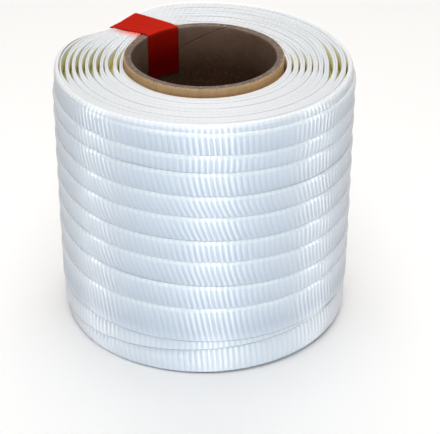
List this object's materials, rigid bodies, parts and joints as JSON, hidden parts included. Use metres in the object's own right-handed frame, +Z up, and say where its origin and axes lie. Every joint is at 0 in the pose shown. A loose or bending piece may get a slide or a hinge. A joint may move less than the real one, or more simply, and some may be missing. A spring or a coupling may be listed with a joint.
{
  "type": "roll of woven cord strapping on a cardboard core",
  "caption": "White woven cord strapping wound in overlapping turns on a cardboard core, with a strip of red tape over the top of the winding.",
  "frame": {"origin": "centre of the roll's outline, on the surface that it stands on", "axes": "+Z up along the core's axis, -Y towards the side seen in the picture, with the tape behind on the -X side"},
  "size_m": [0.1596, 0.1596, 0.1511],
  "materials": {
    "core_cardboard": "matte brown spiral-wound cardboard, greyer on its cut ends and inside",
    "woven_strap": "white ribbed weave with a soft silky sheen along the ribs",
    "red_tape": "smooth plain red film with a satin shine"
  },
  "bodies": {
    "root": {"core": "core_cardboard", "strap_roll": "woven_strap", "tape": "red_tape"}
  },
  "joints": []
}
